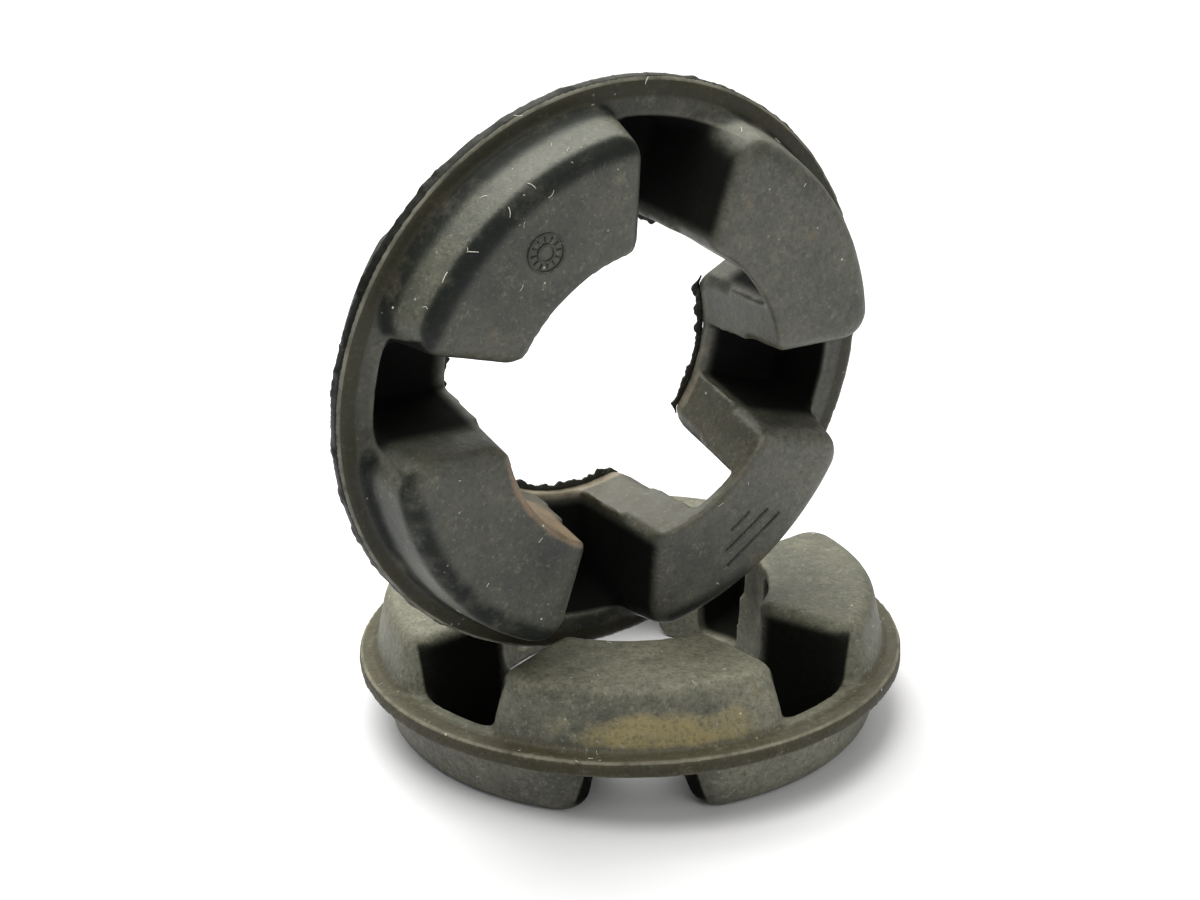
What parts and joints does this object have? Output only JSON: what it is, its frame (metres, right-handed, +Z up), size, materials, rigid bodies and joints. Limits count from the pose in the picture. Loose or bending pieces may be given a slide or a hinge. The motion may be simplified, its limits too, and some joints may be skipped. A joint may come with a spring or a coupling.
{
  "type": "jaw coupling insert pair",
  "caption": "Moulded rubber drive inserts of a flexible jaw coupling, one lying flat with its twin standing on edge in the centre hole; each is a corrugated ring with pockets for the hub jaws.",
  "frame": {"origin": "on the lower insert's axis, in the plane that its rear lugs rest on", "axes": "+Z up along the lower insert's axis; +X, +Y, -X and -Y run through the middles of its upper lugs"},
  "size_m": [0.1524, 0.1567, 0.1829],
  "materials": {
    "black_rubber": "moulded, satin, lightly dusted",
    "worn_rubber": "moulded, worn matt, with dust and ochre dirt"
  },
  "bodies": {
    "lower": {"lower_insert": "worn_rubber"},
    "upper": {"upper_insert": "black_rubber"}
  },
  "joints": [
    {"name": "upper_lift", "type": "slide", "parent": "lower", "child": "upper", "axis": [0, 0, 1], "range_m": [0, 0.2]}
  ]
}
